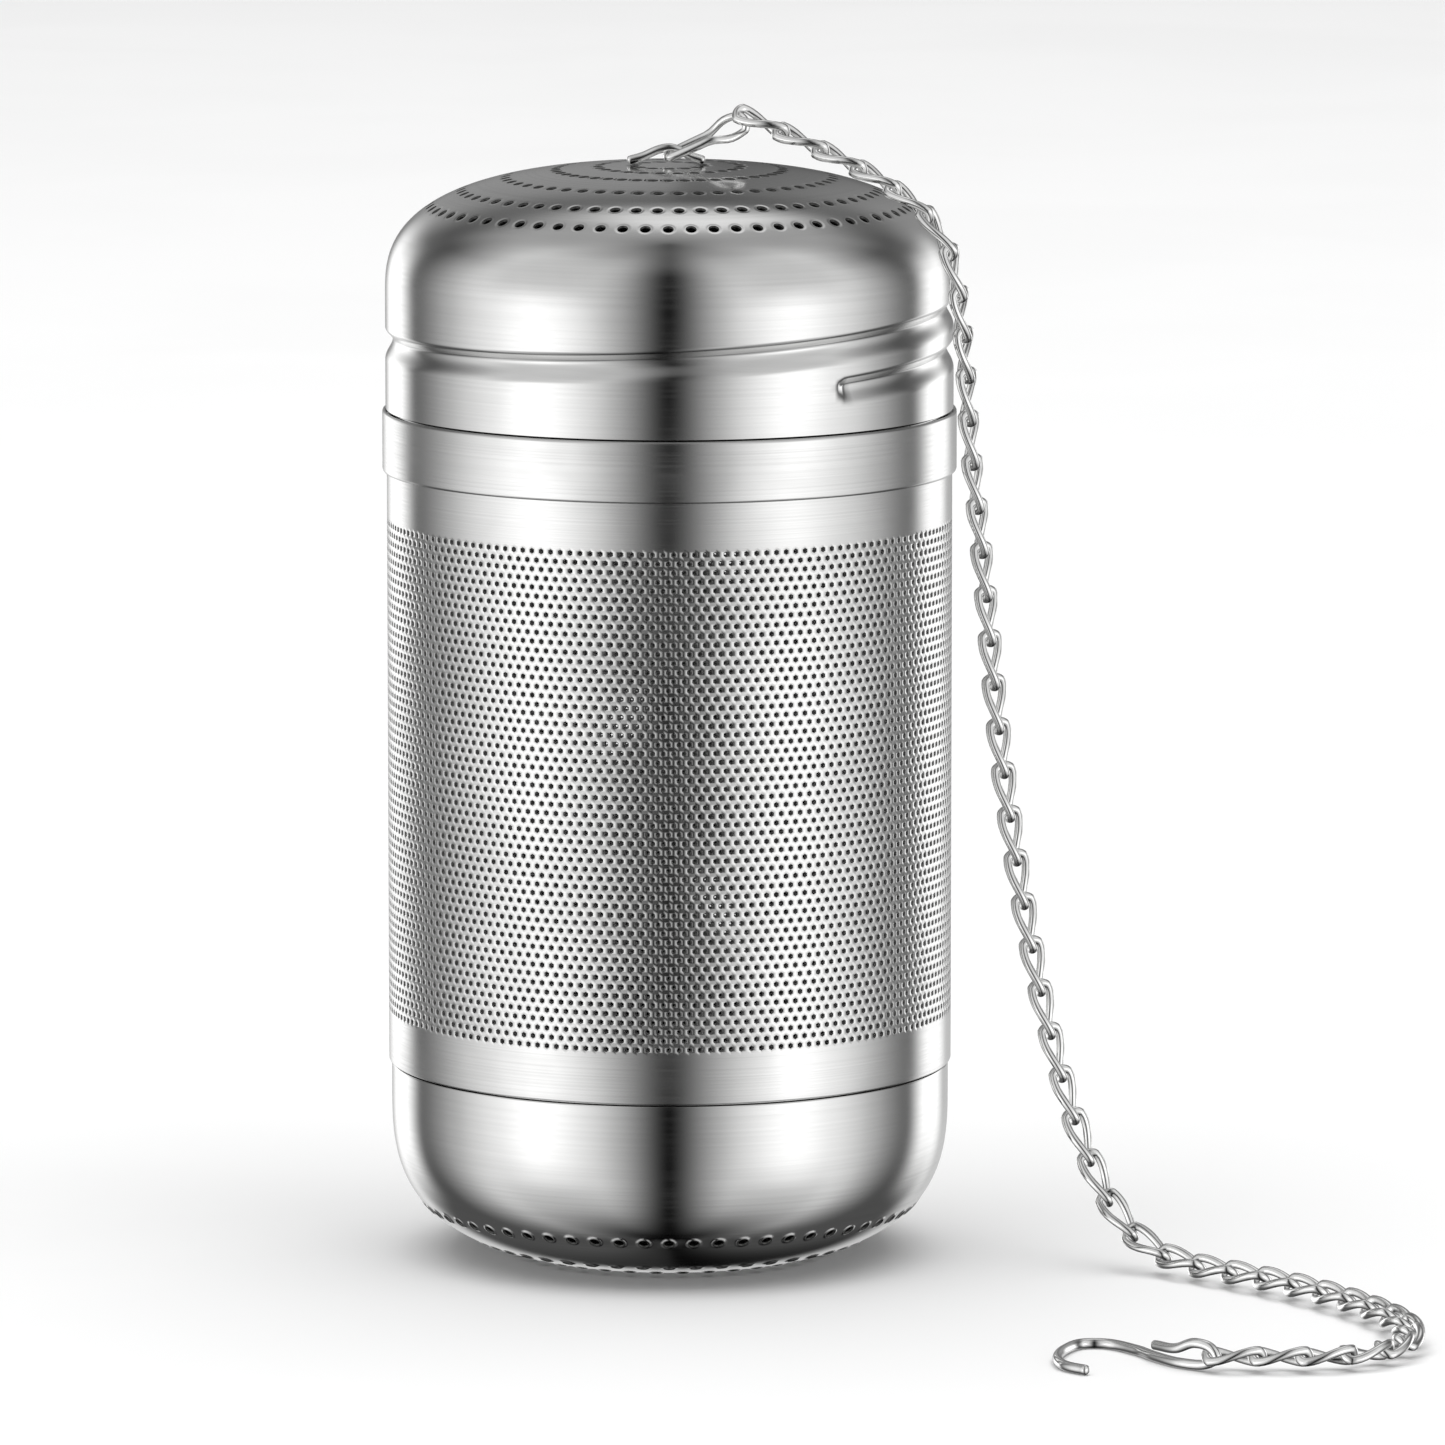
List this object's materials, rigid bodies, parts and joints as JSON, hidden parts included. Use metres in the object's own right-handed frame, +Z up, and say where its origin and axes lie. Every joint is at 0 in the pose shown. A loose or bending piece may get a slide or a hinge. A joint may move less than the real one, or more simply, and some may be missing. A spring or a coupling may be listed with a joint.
{
  "type": "tea infuser",
  "caption": "Upright steel tea infuser: perforated drum with a domed base, screw-on perforated lid, and a curb chain that ends in a wire hook.",
  "frame": {"origin": "centre of the flat base that the infuser stands on", "axes": "+Z up along the drum's axis, -Y to the front, +X to the side that the chain hangs on"},
  "size_m": [0.0933, 0.0858, 0.1052],
  "materials": {
    "brushed_steel": "fine brushed stainless sheet",
    "polished_steel": "satin polished pressed stainless",
    "wire_steel": "bright drawn stainless wire"
  },
  "bodies": {
    "basket": {"base_cup": "polished_steel", "mesh_drum": "brushed_steel", "neck_ring": "brushed_steel", "collar_band": "brushed_steel", "link_16": "wire_steel", "link_17": "wire_steel", "link_18": "wire_steel", "link_19": "wire_steel", "link_20": "wire_steel", "link_21": "wire_steel", "link_22": "wire_steel", "link_23": "wire_steel", "link_24": "wire_steel", "link_25": "wire_steel", "link_26": "wire_steel", "link_27": "wire_steel", "link_28": "wire_steel", "link_29": "wire_steel", "link_30": "wire_steel", "link_31": "wire_steel", "link_32": "wire_steel", "link_33": "wire_steel", "link_34": "wire_steel", "link_35": "wire_steel", "link_36": "wire_steel", "link_37": "wire_steel", "link_38": "wire_steel", "link_39": "wire_steel", "link_40": "wire_steel", "link_41": "wire_steel", "link_42": "wire_steel", "chain_hook": "wire_steel"},
    "chain_carrier": {"link_07": "wire_steel", "link_08": "wire_steel", "link_09": "wire_steel", "link_10": "wire_steel", "link_11": "wire_steel", "link_12": "wire_steel", "link_13": "wire_steel", "link_14": "wire_steel", "link_15": "wire_steel"},
    "lid": {"lid_shell": "polished_steel", "lid_staple": "wire_steel", "link_01": "wire_steel", "link_02": "wire_steel", "link_03": "wire_steel", "link_04": "wire_steel", "link_05": "wire_steel", "link_06": "wire_steel"},
    "swing_link": {"long_link": "wire_steel"}
  },
  "joints": [
    {"name": "lid_rise", "type": "slide", "parent": "basket", "child": "chain_carrier", "axis": [0, 0, 1], "range_m": [0, 0.0115]},
    {"name": "lid_turn", "type": "hinge", "parent": "chain_carrier", "child": "lid", "pos_m": [0, 0, 0.0785], "axis": [0, 0, 1], "range_deg": [0, 1080]},
    {"name": "link_swing", "type": "hinge", "parent": "lid", "child": "swing_link", "pos_m": [0.0008, 0, 0.10188], "axis": [0.9292, 0, -0.3697], "range_deg": [-40, 40]}
  ],
  "couplings": [
    {"joint": "lid_rise", "follows": "lid_turn", "m_per_rad": 0.00060479}
  ]
}
